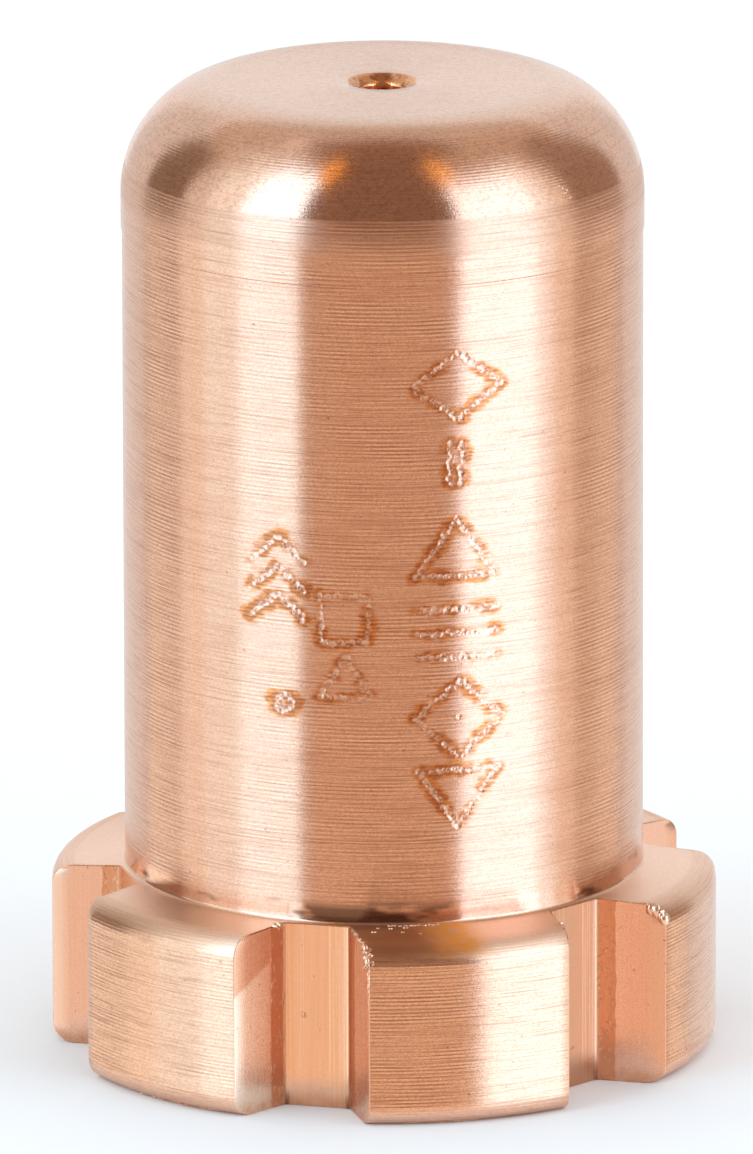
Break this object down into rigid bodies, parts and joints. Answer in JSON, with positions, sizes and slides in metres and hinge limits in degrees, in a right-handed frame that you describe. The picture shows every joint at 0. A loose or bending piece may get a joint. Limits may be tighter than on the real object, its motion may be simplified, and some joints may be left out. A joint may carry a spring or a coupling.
{
  "type": "plasma torch nozzle",
  "caption": "Domed copper plasma torch nozzle with a slotted seating flange, a stepped bore from the base and a small countersunk orifice at the nose.",
  "frame": {"origin": "centre of the flange's seating face", "axes": "+Z along the bore axis, from the seating face to the nose; one lobe of the flange is centred on -Y"},
  "size_m": [0.014, 0.0142, 0.0211],
  "materials": {
    "copper": "fine-turned bare copper, satin"
  },
  "bodies": {
    "root": {"nozzle_body": "copper"}
  },
  "joints": []
}
